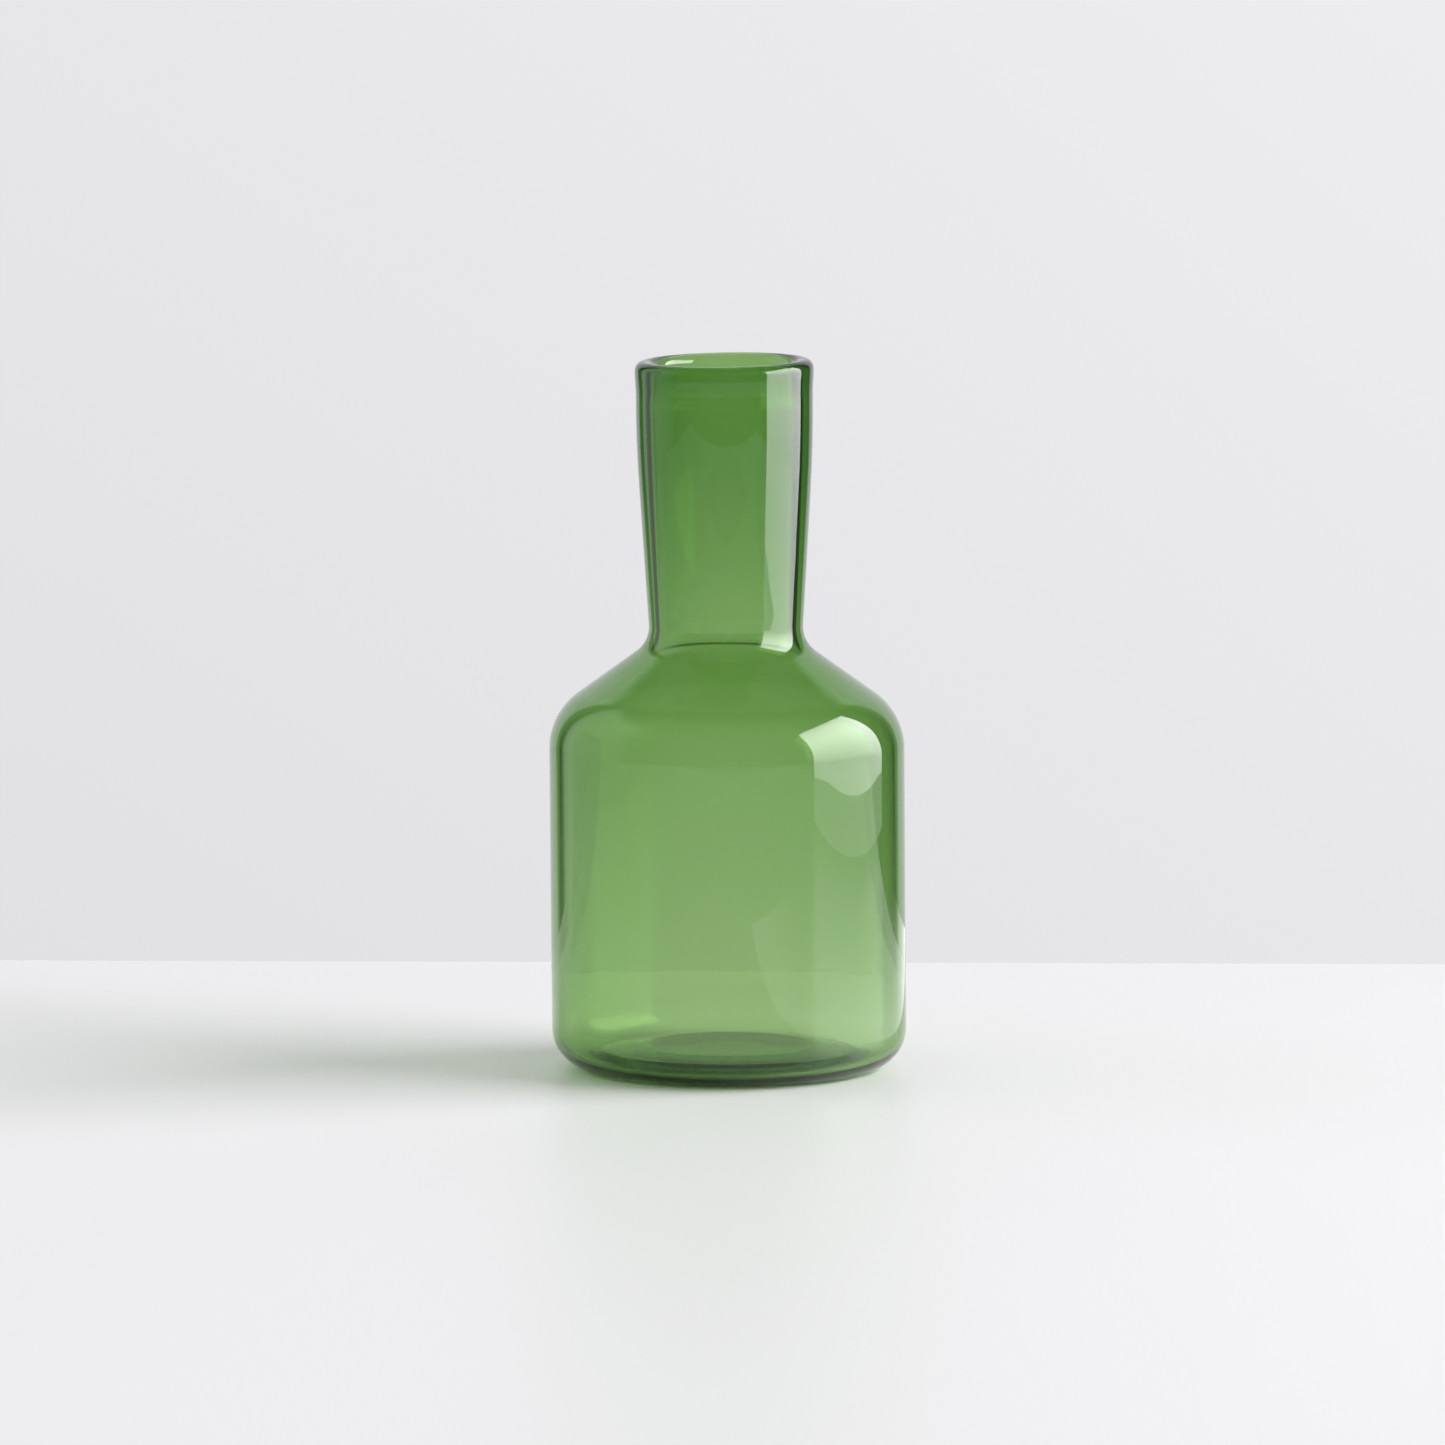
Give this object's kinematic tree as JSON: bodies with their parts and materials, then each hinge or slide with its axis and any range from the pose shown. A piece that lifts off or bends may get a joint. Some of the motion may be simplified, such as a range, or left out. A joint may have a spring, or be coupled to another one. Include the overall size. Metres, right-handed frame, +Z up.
{
  "type": "glass carafe",
  "caption": "Green glass table carafe: straight round body, sloping shoulder and a wide neck opening up to a thick rounded lip.",
  "frame": {"origin": "centre of the base, on the plane the carafe stands on", "axes": "+Z up along the axis of revolution; +X and +Y are free, because the shape is round"},
  "size_m": [0.105, 0.105, 0.21],
  "materials": {
    "green_glass": "clear mid-green soda-lime glass, fire-polished, smooth inside and out"
  },
  "bodies": {
    "root": {"glass_carafe": "green_glass"}
  },
  "joints": []
}
